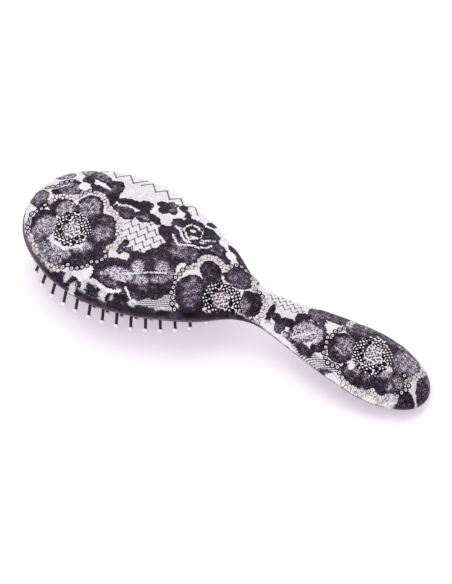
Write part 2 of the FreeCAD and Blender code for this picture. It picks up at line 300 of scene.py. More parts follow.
# Lighter, thread-filled middles of petals and leaves: an ellipse and how light it is.
LIGHT_LOBES = [
    (-80, 5, 5.4, 6.2, 0, 0.6), (-90.5, -1.2, 5, 4.8, 0, 0.8), (-95, -13.5, 5.6, 6.4, -60, 0.8),
    (-89, -26, 11, 5, -10, 0.6), (-72.6, -17, 5.4, 3, 35, 0.85), (-67.4, -5.6, 5.6, 4.6, 20, 0.6),
    (-68.5, 1.2, 4, 2.6, 0, 0.25), (-82, -22.6, 6.5, 3, -10, 0.85), (-97, -20, 6, 3, -50, 0.6),
    (5, 4.5, 6, 4.8, 0, 0.35), (-12.5, -13.5, 4.6, 7.2, 10, 0.4), (12.5, -6.5, 3, 3.4, 0, 0.6),
    (-8, 1, 3, 3, 0, 0.12), (66.5, -1.5, 5, 6.4, 0, 0.6), (69, 12, 7, 3.6, 20, 0.4),
    (96.5, 7, 7, 7.4, 20, 0.62), (89, -3.6, 4.5, 3, 20, 0.85), (97, -5.2, 4.4, 3.6, 10, 0.55),
    (75, -11.5, 4, 3, 0, 0.35), (57, 13, 9, 3.6, 12, 0.35), (84, 17, 15, 4, 0, 0.4),
    (-48.5, -21.6, 7, 3, 10, 1.5), (-55.4, -24.4, 2.4, 1.6, 20, 0.9), (-42, -14.2, 3, 3.4, 20, 1.25),
    (-31.4, -8.8, 3.8, 3, 20, 0.8), (-37.2, -19.8, 4, 2.6, 22, 0.75),
    (-29.2, -15.4, 4.4, 2.2, 25, 0.85), (-37.4, -6.4, 2.4, 1.8, 30, 0.3),
    (-25.6, -10.6, 2, 2.8, 10, 0.75), (-52, -27.4, 6, 1.4, 0, 0.35), (-28.5, 4, 4.4, 5.2, 0, 0.5),
    (-22, 4, 4, 4.6, 0, 0.35), (-13, 14, 5, 3.4, -15, 0.25), (-36, 18, 3, 2.6, 0, 0.15),
    (-85.5, 25.8, 6, 2.4, -8, 0.45), (-75, 22.8, 3.4, 3.6, -30, 0.3), (-95.5, 11.5, 5.6, 4.6, -10, 0.6),
    (-107.5, 1, 4.6, 4.6, 30, 0.55), (-102, 19, 5, 2.6, 30, 0.7), (-95, 27, 5, 2.6, -25, 0.8),
    (-80, 17, 6, 1.8, -8, 0.2), (-63.5, 11.2, 5, 3, -6, 0.3), (-53, 13.4, 2.6, 2.2, 10, 0.5),
    (-44.6, 27.2, 2.4, 1.4, 10, 0.4), (-43, 23.6, 2.6, 1.6, 10, 0.4), (-54.3, -9.6, 1.2, 1.5, 0, 0.5),
    (-51.2, -8, 1.4, 1.1, 0, 0.3), (46.5, -3.6, 7, 4.6, 35, 1.05), (44, -8.6, 4.6, 1.5, -5, 0.9),
    (33.5, -7.8, 2.2, 1.8, 0, 0.4), (76, -9.2, 3, 1.8, 0, 0.7), (83, -10, 3, 1.8, 0, 0.4),
    (96, -8, 3.4, 2, 30, 0.6), (52.5, -3, 2.4, 4.4, 0, 1.0), (47, 7.6, 3.6, 3.4, 20, 0.45),
    (108, 4, 3.6, 10, 12, 0.3), (-35, -23, 4, 1.6, 25, 0.3),
]
# White gaps laid over the dark lobes.
WHITE_LOBES = [
    (-75.5, -15, 2, 1.4, 45), (-84, -20.6, 5.5, 0.8, -6), (-78, -18.6, 3.4, 0.8, 20),
    (-107, -7.4, 2.4, 2, -20), (-63.8, -27, 2.8, 3.4, 10), (-81.5, 21.2, 5.6, 0.8, -12),
    (-89.3, 15.6, 3, 2.6, 0), (-27.6, 17.4, 1.3, 0.9, 20), (-22.6, -4.6, 2, 2.7, -25),
    (9.6, -2, 0.7, 2.6, 10), (-28, 12.2, 1.6, 0.5, -30), (-25, 14.3, 2.3, 0.7, 10),
    (-20.4, 13.2, 1.5, 0.4, 20), (84.5, -4, 3.6, 1.4, 35), (73.6, -8.6, 1.6, 2, 0),
    (56, 5, 3.4, 2.6, 10), (-5, 15, 2.6, 2.4, 0), (-11.4, 19.2, 2.8, 1.6, -15), (-51, 19.6, 1.3, 3, -8),
    (-38, 23.5, 1.8, 2.4, -40),
]
# White threads drawn over the dark: points of a smooth line, and its width.
WHITE_LINES = [
    ([(-44.5, -19.4), (-40, -17), (-35, -14.2), (-28, -10.8)], 0.8),
    ([(-59.6, -30), (-56, -30.4), (-52.5, -31.6), (-49, -31.2), (-44.6, -29.2)], 1.8),
    ([(-42.4, -26.6), (-40.4, -28), (-38.6, -29.6), (-36, -31)], 1.0),
    ([(-35.2, 10.2), (-32.6, 7.8), (-30, 6.4), (-27, 7.8), (-23.6, 9.4), (-20.2, 9.6)], 1.1),
    ([(-20.4, 10.2), (-17.6, 11.4), (-15.8, 14)], 0.9),
    ([(-36.4, 15.4), (-33.2, 14.2), (-31, 11.8), (-28.2, 10.2), (-25.8, 10.6)], 1.1),
    ([(-35.6, 15.8), (-31, 15), (-28.8, 13), (-26.8, 12.2), (-24.6, 13.8)], 0.8),
    ([(-32.4, 16.2), (-31.6, 19), (-30.2, 20.6)], 0.8),
    ([(-28.8, 20.8), (-26.6, 20.9), (-25.2, 19.9)], 1.0),
    ([(-23.4, 20), (-22.8, 17.4), (-22.2, 15.6)], 0.5),
    ([(-21, 14.4), (-18.2, 16.3), (-15.8, 17.9)], 0.8),
    ([(-68, 13.4), (-63, 15.2), (-57.4, 14.8)], 1.0),
    ([(41, -9.4), (45.5, -6), (50.4, -2)], 0.7),
    ([(-84, 3), (-86.4, 4.2), (-89.6, 3.4)], 0.3),
    ([(-103, 8), (-99.6, 11), (-96, 15)], 0.5),
]
# Dark threads drawn over the pale ground.
DARK_LINES = [
    ([(-47, 15.4), (-44, 13), (-41.6, 10.6)], 0.35),
    ([(-34, 14.8), (-31, 13.4), (-28.6, 11.6)], 0.5),
    ([(-66, 21), (-60.4, 18.2)], 0.3),
    ([(10, 12), (12.6, 8), (14.6, 5.4), (13.4, 2.6)], 0.4),
]
# Scalloped outlines of the flowers, on which the sequins are sewn.
OUTLINES = [
    ([(-59.6, -17.4), (-64.4, -22.4), (-69, -27.6), (-75, -28.4), (-80, -32), (-88, -30.6),
      (-94.6, -26.2), (-100.4, -22), (-104.4, -16.4), (-106, -10.4), (-103, -6), (-100.6, -1.4),
      (-98.6, 4), (-92.6, 6.2), (-88.4, 8), (-86.6, 13), (-81, 14.8), (-76.4, 13.4), (-72, 9.4),
      (-67, 7.6), (-63, 4.4), (-60.6, -0.4), (-58, -4.4), (-58.2, -9.4), (-61.4, -13)], True),
    ([(-15, -25.6), (-19, -21.4), (-21, -16.6), (-22, -11.4), (-21.4, -6.4), (-18.6, -2.2), (-16, 1),
      (-15.8, 5.4), (-12, 8), (-7.6, 8.2), (-3.6, 5.6), (-1.8, 9.4), (2, 12), (7.4, 12), (11, 9),
      (13.4, 5.2), (17.4, 2.6), (21.4, 0.6), (23, -3.6), (22, -9), (16, -13)], False),
    ([(63.4, 17), (63, 12), (61, 7.4), (58.8, 3), (57.2, -2), (58.4, -7), (60.6, -11.4),
      (65.6, -12.6), (69.4, -13), (73, -16.6), (80, -17.6), (85.6, -16), (88.4, -14.6), (92, -15.8),
      (96.6, -12.6), (100, -9.6), (102.4, -5.4), (100.8, -1), (97.4, 0.4)], False),
    ([(100.8, -1), (103.6, 3), (105.2, 8), (102.4, 13.4)], False),
    ([(-108, 7.4), (-103.6, 9.6), (-101, 13), (-97.6, 16.6)], False),
]
# Where the outline is beaded in cream instead of sequins.
CREAM_LOBES = [
    (-70, 9, 14, 7, -40), (-96, 5, 9, 5, 20), (-59, -5, 4, 8, 0), (-10, 6, 9, 5, 0),
    (-16.5, -1, 3, 6, 0), (-97, -25, 6, 3, -30), (-84, -31.6, 9, 2, -4), (22, -4, 3, 6, 0),
    (63.4, 14, 3, 4, 0), (80, -17.4, 16, 2, 0), (104, 8, 3, 8, 0), (91, -14, 5, 3, 0), (12, 7, 3, 4, 0),
]
FLOWER_HEARTS = [(-82.0, -10.0), (2.5, -9.5), (80.5, 2.5)]
HEART_LOBES = [(-82, -10, 9.4, 10.2, 20), (2.6, -9.6, 9.2, 9.6, -30), (80.6, 2, 10, 10.4, 0)]
# Net with bold brick-shaped meshes, and panels of zigzag stitches.
NET_LOBES = [
    (-27.5, -25.5, 9, 4.2, 28), (-20, -23.6, 4, 2.6, 30), (52, -13, 12, 2.4, -14), (63, -13.4, 6, 2.4, 0),
]
PANEL_LOBES = [(-49, 1.5, 11.5, 10.5, 0), (31, 4.6, 10.5, 3.6, 4)]
# Loose zigzags: start, end, pitch, height and thread width.
LOOSE_ZIGZAGS = [((-88, 31), (-64, 33.2), 8.2, 5.4, 0.75), ((-64.6, 33.4), (-31, 31), 8.3, 4.8, 0.75)]
# Panels: how many rows, the first row's start and end, the step to the next, then as above.
PANEL_ROWS = [
    (5, (-61, -7.8), (-32.6, -5.4), (-1.1, 4.4), 4.2, 2.7, 0.56),
    (3, (20, 1.0), (44, 3.4), (0, 3.3), 4.0, 2.3, 0.42),
]
KNOT_RADIUS = 0.55
# How softly light lobes and cream stretches fade, and how far from an outline its beads may reach.
LIGHT_BLUR = 0.45
CREAM_BLUR = 0.5
CHAIN_REACH = 3.0
# Pale smears on the near side, where the film was stretched.
PALE_SMEARS = [
    (-72.4, -33, 1.5, 2.6, 0), (-67.4, -36.2, 2.6, 2, 0), (-62, -33, 1.3, 2.6, 0),
    (-58, -30.8, 2.4, 1.2, -5), (-51.8, -33.6, 1.8, 1.6, 20), (-36, -31, 2.6, 1.2, 20),
    (-47, -33, 0.8, 1.2, 0), (27.5, -8.6, 2.6, 1, 0), (58, -14.6, 3, 0.9, -10), (67, -16, 3.4, 0.8, -4),
    (98.4, -13.6, 3, 2, 30), (38.4, -9.8, 1.4, 0.6, -5),
]


def ellipse_distance(x, y, lobe):
    """Approximate signed distance to an ellipse, negative inside."""
    centre_x, centre_y, long_half, short_half, turn = lobe[:5]
    cos, sin = math.cos(math.radians(turn)), math.sin(math.radians(turn))
    u = (x - centre_x) * cos + (y - centre_y) * sin
    v = -(x - centre_x) * sin + (y - centre_y) * cos
    reach = np.sqrt((u / long_half) ** 2 + (v / short_half) ** 2) + 1e-6
    slope = np.sqrt((u / long_half ** 2) ** 2 + (v / short_half ** 2) ** 2) + 1e-6
    return (reach - 1) * reach / slope


def union_distance(x, y, lobes):
    """Signed distance to a union of ellipses."""
    result = np.full_like(x, 9.0)
    for lobe in lobes:
        result = np.minimum(result, ellipse_distance(x, y, lobe))
    return result


def smooth_line(knots, closed=False, spacing=0.4):
    """Points along a smooth curve through the knots."""
    knots = np.array(knots, float)
    if closed:
        padded = np.concatenate([knots[-1:], knots, knots[:2]])
    else:
        padded = np.concatenate([2 * knots[:1] - knots[1:2], knots, 2 * knots[-1:] - knots[-2:-1]])
    points = []
    for a, b, c, d in zip(padded, padded[1:], padded[2:], padded[3:]):
        count = max(2, int(np.hypot(*(c - b)) / spacing))
        t = np.arange(count)[:, None] / count
        points.append(0.5 * (2 * b + (c - a) * t + (2 * a - 5 * b + 4 * c - d) * t ** 2
                             + (3 * b - a - 3 * c + d) * t ** 3))
    points.append(padded[-2][None])
    return np.concatenate(points)


def distance_and_travel(x, y, line, reach):
    """Distance from each point to a line, signed by side, and how far along the line it lies."""
    best = np.full_like(x, reach)
    side = np.ones_like(x)
    travel = np.zeros_like(x)
    run = 0.0
    low = line.min(0) - reach
    high = line.max(0) + reach
    near = np.flatnonzero((x > low[0]) & (x < high[0]) & (y > low[1]) & (y < high[1]))
    px, py = x[near], y[near]
    b, s, t = best[near], side[near], travel[near]
    for (ax, ay), (bx, by) in zip(line, line[1:]):
        length = math.hypot(bx - ax, by - ay)
        if length < 1e-6:
            continue
        ux, uy = (bx - ax) / length, (by - ay) / length
        along = np.clip((px - ax) * ux + (py - ay) * uy, 0, length)
        gap = np.hypot(px - ax - along * ux, py - ay - along * uy)
        nearer = gap < b
        b = np.where(nearer, gap, b)
        s = np.where(nearer, np.sign((py - ay) * ux - (px - ax) * uy), s)
        t = np.where(nearer, run + along, t)
        run += length
    best[near], side[near], travel[near] = b, s, t
    return best, side, travel


def soft_inside(distance, blur):
    """1 inside a shape, 0 outside, with a soft edge."""
    return 1 / (1 + np.exp(np.clip(distance / blur, -30, 30)))


def zigzag_line(start, end, pitch, height):
    """Corner points of a zigzag from start to end."""
    count = int((end[0] - start[0]) / pitch * 2)
    corners = []
    for step in range(count + 1):
        share = step / count
        lift = height / 2 if step % 2 else -height / 2
        level = start[1] + (end[1] - start[1]) * share
        corners.append((start[0] + (end[0] - start[0]) * share, level + lift))
    return np.array(corners)


def chain_fields(x, y):
    """Distance across the nearest flower outline, and travel along it."""
    across = np.full_like(x, 9.0)
    along = np.zeros_like(x)
    for knots, closed in OUTLINES:
        gap, side, travel = distance_and_travel(x, y, smooth_line(knots, closed), 4.0)
        nearer = gap < np.abs(across)
        across = np.where(nearer, gap * side, across)
        along = np.where(nearer, travel, along)
    return across, along


def lines_distance(x, y, lines):
    """Signed distance to smooth lines, each with its own width."""
    result = np.full_like(x, 3.0)
    for knots, width in lines:
        gap, _, _ = distance_and_travel(x, y, smooth_line(knots), 3.0)
        result = np.minimum(result, gap - width / 2)
    return result


def zigzag_distance(x, y, corners, width):
    """Signed distance to a zigzag with a small knot at each corner."""
    gap, _, _ = distance_and_travel(x, y, corners, 2.0)
    result = gap - width / 2
    for corner in corners:
        result = np.minimum(result, np.hypot(x - corner[0], y - corner[1]) - KNOT_RADIUS)
    return result


def stitch_distance(x, y):
    """Signed distance to all the stitched zigzags; those of a panel stop at its edge."""
    result = np.full_like(x, 3.0)
    for start, end, pitch, height, width in LOOSE_ZIGZAGS:
        corners = zigzag_line(start, end, pitch, height)
        result = np.minimum(result, zigzag_distance(x, y, corners, width))
    panel = union_distance(x, y, PANEL_LOBES)
    for count, start, end, step, pitch, height, width in PANEL_ROWS:
        for row in range(count):
            shift = row * np.array(step)
            corners = zigzag_line(start + shift, end + shift, pitch, height)
            result = np.minimum(result, np.maximum(zigzag_distance(x, y, corners, width), panel))
    return result


def heart_fields(x, y):
    """Distance to the nearest flower heart, and the place seen from its middle."""
    nearest = np.full_like(x, 9.0)
    local_x = np.zeros_like(x)
    local_y = np.zeros_like(x)
    for (centre_x, centre_y), lobe in zip(FLOWER_HEARTS, HEART_LOBES):
        gap = ellipse_distance(x, y, lobe)
        nearer = gap < nearest
        nearest = np.where(nearer, gap, nearest)
        local_x = np.where(nearer, x - centre_x, local_x)
        local_y = np.where(nearer, y - centre_y, local_y)
    return nearest, local_x, local_y


def print_fields(x, y):
    """Every field of the lace print at plan points x, y, by attribute name."""
    across, along = chain_fields(x, y)
    heart, heart_x, heart_y = heart_fields(x, y)
    light = np.zeros_like(x)
    for lobe in LIGHT_LOBES:
        light = np.maximum(light, lobe[5] * soft_inside(ellipse_distance(x, y, lobe), LIGHT_BLUR))
    return {
        "lace_dark": union_distance(x, y, DARK_LOBES),
        "lace_light": light,
        "lace_white": np.minimum(union_distance(x, y, WHITE_LOBES), lines_distance(x, y, WHITE_LINES)),
        "lace_thread": lines_distance(x, y, DARK_LINES),
        "lace_stitch": stitch_distance(x, y),
        "chain_across": np.clip(across, -CHAIN_REACH, CHAIN_REACH),
        "chain_along": along,
        "chain_near": np.where(np.abs(across) < CHAIN_REACH - 0.1, 1.0, 0.0),
        "chain_cream": soft_inside(union_distance(x, y, CREAM_LOBES), CREAM_BLUR),
        "heart": heart,
        "heart_x": heart_x,
        "heart_y": heart_y,
        "net": union_distance(x, y, NET_LOBES),
        "pale_smear": union_distance(x, y, PALE_SMEARS),
    }


def add_field(item, name, values):
    """Store one number per vertex for the materials to read."""
    attribute = item.data.attributes.new(name, "FLOAT", "POINT")
    attribute.data.foreach_set("value", np.asarray(values, np.float32))


# ---------------- node helpers

class Nodes:
    """Short calls that add shader nodes and link them."""

    def __init__(self, name):
        self.material = bpy.data.materials.new(name)
        self.material.use_nodes = True
        self.tree = self.material.node_tree
        self.shader = self.tree.nodes["Principled BSDF"]

    def put(self, socket, value):
        """Link a socket to another, or set its value; None leaves it alone."""
        if isinstance(value, bpy.types.NodeSocket):
            self.tree.links.new(value, socket)
        elif value is not None:
            socket.default_value = value

    def add(self, kind, inputs=(), **settings):
        node = self.tree.nodes.new(kind)
        for key, value in settings.items():
            setattr(node, key, value)
        for key, value in dict(inputs).items():
            self.put(node.inputs[key], value)
        return node

    def math(self, operation, a, b=None, c=None):
        node = self.add("ShaderNodeMath", operation=operation)
        for socket, value in zip(node.inputs, (a, b, c)):
            self.put(socket, value)
        return node.outputs[0]

    def plus(self, a, b):
        return self.math("ADD", a, b)

    def minus(self, a, b):
        return self.math("SUBTRACT", a, b)

    def times(self, a, b):
        return self.math("MULTIPLY", a, b)

    def most(self, a, b):
        return self.math("MAXIMUM", a, b)

    def field(self, name):
        return self.add("ShaderNodeAttribute", attribute_name=name).outputs["Fac"]

    def object_place(self):
        return self.add("ShaderNodeTexCoord").outputs["Object"]

    def noise(self, place, scale, detail=2.0):
        settings = {"Vector": place, "Scale": scale, "Detail": detail}
        return self.add("ShaderNodeTexNoise", settings).outputs["Fac"]

    def step(self, value, low, high):
        """0 below low, 1 above high, smooth between; low may be the larger."""
        node = self.add("ShaderNodeMapRange", {"Value": value}, interpolation_type="SMOOTHSTEP")
        node.inputs["From Min"].default_value = low
        node.inputs["From Max"].default_value = high
        return node.outputs["Result"]

    def mix(self, factor, a, b):
        node = self.add("ShaderNodeMix", data_type="RGBA")
        self.put(node.inputs["Factor"], factor)
        self.put(node.inputs[6], a)
        self.put(node.inputs[7], b)
        return node.outputs[2]

    def vector(self, x, y):
        return self.add("ShaderNodeCombineXYZ", {"X": x, "Y": y}).outputs[0]

    def shade(self, **values):
        """Set inputs of the shader, named with underscores for spaces."""
        for key, value in values.items():
            self.put(self.shader.inputs[key.replace("_", " ")], value)

    def bump(self, height, distance, strength):
        node = self.add("ShaderNodeBump", {"Height": height, "Strength": strength, "Distance": distance})
        self.put(self.shader.inputs["Normal"], node.outputs[0])


# Colours of the print, and of the bare shell inside.
PALE = (0.80, 0.79, 0.81, 1)
MESH_GREY = (0.50, 0.485, 0.515, 1)
NET_INK = (0.035, 0.03, 0.042, 1)
STITCH_INK = (0.06, 0.056, 0.07, 1)
INK = (0.004, 0.002, 0.005, 1)
PLUM = (0.017, 0.009, 0.021, 1)
THREAD = (0.30, 0.255, 0.335, 1)
BRIGHT_THREAD = (0.76, 0.70, 0.81, 1)
WHITE = (0.82, 0.80, 0.84, 1)
SILVER = (0.66, 0.63, 0.71, 1)
CREAM = (0.74, 0.67, 0.60, 1)
BEAD_SHADOW = (0.17, 0.14, 0.15, 1)
BEAD_HOLE = (0.30, 0.26, 0.25, 1)
SEED_PINK = (0.80, 0.74, 0.76, 1)
SEED_DARK = (0.10, 0.07, 0.09, 1)
SEAM_PLUM = (0.024, 0.014, 0.028, 1)
SEAM_MAUVE = (0.17, 0.125, 0.18, 1)
SMEAR_GREY = (0.42, 0.41, 0.48, 1)
SMEAR_PALE = (0.80, 0.80, 0.84, 1)
BARE_SHELL = (0.02, 0.018, 0.022, 1)

# The net's bricks: how far a row slants, and rows and bricks to the millimetre.
BRICK_SLANT = -0.42
BRICK_ROWS = 1.05
BRICKS_ALONG = 0.72
# Sequins and cream beads, in millimetres.
SEQUIN_PITCH = 2.6
SEQUIN_RADIUS = 1.08
SEQUIN_RIM = 0.46
CREAM_PITCHES = (1.7, 1.85)
CREAM_OFFSETS = (0.75, -0.85)


class LacePrint(Nodes):
    """The lace print's nodes, fed by the fields stored on the shell."""

    def __init__(self, name):
        super().__init__(name)
        to_millimetres = {0: self.object_place(), 1: (1 / MM, 1 / MM, 1 / MM)}
        self.place = self.add("ShaderNodeVectorMath", to_millimetres, operation="MULTIPLY").outputs[0]
        split = self.add("ShaderNodeSeparateXYZ", {0: self.place})
        self.x = split.outputs["X"]
        self.y = split.outputs["Y"]
        self.drift = self.minus(self.noise(self.place, 0.22), 0.5)
        self.fringe = self.minus(self.noise(self.place, 1.6, 3.0), 0.5)

    def patches(self, scale, low, high, detail=2.0):
        """Soft-edged patches, 0 to 1."""
        return self.step(self.noise(self.place, scale, detail), low, high)

    def uneven(self, scale, detail, amount, middle=0.5):
        """Noise spread to both sides of zero."""
        return self.times(self.minus(self.noise(self.place, scale, detail), middle), amount)

    def frayed(self, name, amount, inner, outer):
        """1 inside a stored shape, with an edge frayed by the fringe noise."""
        return self.step(self.plus(self.field(name), self.times(self.fringe, amount)), outer, inner)

    def turned(self, turn):
        """Distance across and along lines that lean by an angle, in millimetres."""
        cos, sin = math.cos(turn), math.sin(turn)
        across = self.plus(self.times(self.x, cos), self.times(self.y, sin))
        along = self.minus(self.times(self.y, cos), self.times(self.x, sin))
        return across, along

    def wave(self, pitch, turn, sway):
        """Swaying ridges of a given pitch in millimetres, 0 to 1."""
        across, _ = self.turned(turn)
        position = self.plus(across, self.times(self.drift, sway))
        ridge = self.math("SINE", self.times(position, 2 * math.pi / pitch))
        return self.math("MULTIPLY_ADD", ridge, 0.5, 0.5)

    def strands(self, turn, low, high):
        """Short broken strands that lean by an angle, 0 to 1."""
        across, along = self.turned(turn)
        drawn_out = self.vector(self.times(across, 2.1), self.times(along, 0.62))
        return self.step(self.noise(drawn_out, 1.0, 3.0), low, high)

    def bricks(self):
        """Bars of a net whose meshes lie like bricks, 0 to 1."""
        row = self.times(self.plus(self.y, self.times(self.x, BRICK_SLANT)), BRICK_ROWS)
        odd = self.times(self.math("FLOORED_MODULO", self.math("FLOOR", row), 2.0), 0.5)
        column = self.plus(self.times(self.x, BRICKS_ALONG), odd)
        off_row = self.math("ABSOLUTE", self.minus(self.math("FRACT", row), 0.5))
        off_column = self.math("ABSOLUTE", self.minus(self.math("FRACT", column), 0.5))
        upright = self.times(self.step(off_column, 0.32, 0.46), 0.7)
        return self.most(self.step(off_row, 0.20, 0.38), upright)

    def ground(self):
        """Pale cloth with a fine slanted mesh, patches of bold net and stitched zigzags."""
        mesh_a = self.step(self.wave(0.86, 0.55, 1.6), 0.72, 0.95)
        mesh_b = self.step(self.wave(0.92, -0.75, 1.6), 0.74, 0.96)
        mesh = self.times(self.most(mesh_a, mesh_b), self.patches(0.5, 0.3, 0.62))
        colour = self.mix(self.times(mesh, 0.8), PALE, MESH_GREY)
        net = self.times(self.bricks(), self.step(self.field("net"), 0.3, -0.3))
        colour = self.mix(self.times(net, 0.95), colour, NET_INK)
        stitch = self.frayed("lace_stitch", 0.25, -0.12, 0.14)
        return self.mix(self.times(stitch, 0.9), colour, STITCH_INK)

    def dark_lace(self):
        """Dark lace filled with light threads, and how strong the threads are."""
        leaning = self.strands(-0.75, 0.50, 0.57)
        crossing = self.times(self.strands(0.45, 0.55, 0.62), 0.8)
        speckle = self.times(self.patches(1.5, 0.54, 0.62), 0.9)
        columns = self.math("MULTIPLY_ADD", self.step(self.wave(0.95, 0.10, 1.4), 0.30, 0.75), 0.5, 0.5)
        weave = self.times(self.most(self.most(leaning, crossing), speckle), columns)
        patchy = self.plus(self.field("lace_light"), self.uneven(0.38, 3.0, 1.5, middle=0.52))
        light = self.most(patchy, 0.0)
        body = self.mix(self.patches(0.12, 0.35, 0.65), INK, PLUM)
        body = self.mix(self.times(light, 0.13), body, THREAD)
        amount = self.times(weave, self.math("MULTIPLY_ADD", light, 1.55, 0.15))
        tint = self.mix(self.step(light, 0.15, 0.9), THREAD, BRIGHT_THREAD)
        return self.mix(self.math("MINIMUM", amount, 1.0), body, tint), weave

    def cells(self, source, scale, randomness):
        """Outputs of a pattern of scattered round cells."""
        settings = {"Vector": source, "Scale": scale, "Randomness": randomness}
        return self.add("ShaderNodeTexVoronoi", settings, voronoi_dimensions="2D").outputs

    def hearts(self, colour):
        """Flower hearts: dark beads with bright gaps round a middle of pale seeds."""
        local = self.vector(self.field("heart_x"), self.field("heart_y"))
        heart = self.field("heart")
        beads = self.cells(local, 0.44, 0.36)
        reach = self.times(beads["Distance"], 2.0)
        chance = self.add("ShaderNodeSeparateXYZ", {0: beads["Color"]}).outputs["X"]
        glint = self.mix(self.step(chance, 0.34, 0.46), PLUM, WHITE)
        bead = self.mix(self.step(reach, 0.50, 0.30), INK, glint)
        gaps = self.mix(self.patches(0.9, 0.30, 0.42), INK, WHITE)
        beaded = self.mix(self.step(reach, 1.18, 1.02), gaps, bead)
        seeds = self.cells(local, 0.80, 0.8)["Distance"]
        pearl = self.mix(self.step(seeds, 0.50, 0.30), SEED_PINK, SEED_DARK)
        middle = self.step(self.plus(heart, self.times(self.drift, 6.0)), -5.0, -5.8)
        inside = self.step(self.plus(heart, self.uneven(0.32, 2.0, 5.0)), 0.3, -0.3)
        return self.mix(inside, colour, self.mix(middle, beaded, pearl))

    def bead_reach(self, pitch, offset, wobble):
        """Distance from the middle of the nearest bead strung along the outline."""
        count = self.math("DIVIDE", self.field("chain_along"), pitch)
        along = self.times(self.minus(self.math("FRACT", count), 0.5), pitch)
        shift = self.times(self.math("SINE", self.times(self.math("FLOOR", count), 2.4)), wobble)
        sideways = self.minus(self.field("chain_across"), self.plus(shift, offset))
        squares = self.plus(self.math("POWER", along, 2.0), self.math("POWER", sideways, 2.0))
        return self.math("SQRT", squares)

    def outlines(self, colour):
        """Sequins and cream beads along the flowers' outlines."""
        sequin = self.bead_reach(SEQUIN_PITCH, 0.1, 0.5)
        rim = self.math("ABSOLUTE", self.minus(sequin, SEQUIN_RADIUS))
        silver = self.mix(self.patches(0.8, 0.4, 0.6), SILVER, WHITE)
        ringed = self.mix(self.step(sequin, SEQUIN_RADIUS + 0.18, SEQUIN_RADIUS + 0.04), colour, silver)
        ringed = self.mix(self.step(sequin, 0.42, 0.26), ringed, PLUM)
        ringed = self.mix(self.step(rim, SEQUIN_RIM, SEQUIN_RIM * 0.45), ringed, INK)
        first = self.bead_reach(CREAM_PITCHES[0], CREAM_OFFSETS[0], 0.35)
        second = self.bead_reach(CREAM_PITCHES[1], CREAM_OFFSETS[1], 0.4)
        seed = self.math("MINIMUM", first, second)
        off_line = self.math("ABSOLUTE", self.field("chain_across"))
        shadow = self.step(self.plus(off_line, self.times(self.fringe, 1.6)), 1.7, 1.3)
        creamy = self.mix(self.patches(0.7, 0.42, 0.6), CREAM, WHITE)
        pearls = self.mix(self.times(shadow, 0.75), colour, BEAD_SHADOW)
        pearls = self.mix(self.step(seed, 0.82, 0.66), pearls, creamy)
        pearls = self.mix(self.step(seed, 0.26, 0.14), pearls, BEAD_HOLE)
        beaded = self.mix(self.field("chain_cream"), ringed, pearls)
        return self.mix(self.step(self.field("chain_near"), 0.97, 1.0), colour, beaded)

    def near_seam(self, colour):
        """A dark band towards the seam, mauve at the tip, with stretched pale patches."""
        from_seam = self.plus(self.field("from_seam"), self.uneven(0.35, 2.0, 3.2))
        narrower = self.times(self.most(self.step(self.x, 5.0, 30.0), self.step(self.y, 2.0, 12.0)), 3.6)
        band = self.step(self.plus(from_seam, narrower), 8.2, 5.6)
        dark = self.mix(self.patches(0.16, 0.35, 0.65), INK, SEAM_PLUM)
        blotches = self.times(self.patches(0.2, 0.52, 0.68), 0.5)
        to_tip = self.plus(self.step(self.x, -78.0, -98.0), blotches)
        dark = self.mix(self.times(to_tip, 0.5), dark, SEAM_MAUVE)
        colour = self.mix(band, colour, dark)
        smear = self.step(self.plus(self.field("pale_smear"), self.uneven(0.30, 5.0, 7.5)), 0.5, -0.6)
        streak = self.mix(self.patches(0.6, 0.30, 0.66, 3.0), SMEAR_GREY, SMEAR_PALE)
        return self.mix(self.times(smear, 0.9), colour, streak)


def lace_material():
    """Black and white lace print on a smooth film."""
    n = LacePrint("lace_print")
    lace, weave = n.dark_lace()
    ragged = n.plus(n.times(n.fringe, 1.1), n.uneven(0.6, 2.0, 2.2))
    edge = n.plus(n.field("lace_dark"), ragged)
    colour = n.mix(n.step(edge, 0.16, -0.16), n.ground(), lace)
    colour = n.mix(n.frayed("lace_thread", 0.3, -0.12, 0.12), colour, INK)
    colour = n.mix(n.frayed("lace_white", 2.8, -0.16, 0.16), colour, WHITE)
    colour = n.near_seam(n.outlines(n.hearts(colour)))
    colour = n.mix(n.field("printed"), BARE_SHELL, colour)
    n.shade(Base_Color=colour, Roughness=0.26, Specular_IOR_Level=0.05)
    relief = n.plus(n.times(weave, 0.5), n.step(n.field("lace_dark"), 0.2, -0.2))
    n.bump(relief, 0.00004, 0.5)
    return n.material


def plastic_material(name, colour, rough, shine, coat, grain_scale, grain_depth):
    """Moulded plastic: slight colour drift, uneven gloss and a fine surface grain."""
    n = Nodes(name)
    place = n.object_place()
    grain = n.noise(place, grain_scale, 3.0)
    broad = n.noise(place, 60.0)
    lighter = tuple(min(0.95, c * 1.25 + 0.004) for c in colour) + (1,)
    base = n.mix(n.step(broad, 0.35, 0.7), tuple(colour) + (1,), lighter)
    gloss = n.math("MULTIPLY_ADD", broad, 0.14, rough - 0.07)
    n.shade(Base_Color=base, Roughness=gloss, Specular_IOR_Level=shine)
    n.shade(Coat_Weight=coat, Coat_Roughness=0.12)
    n.bump(grain, grain_depth, 0.6)
    return n.material


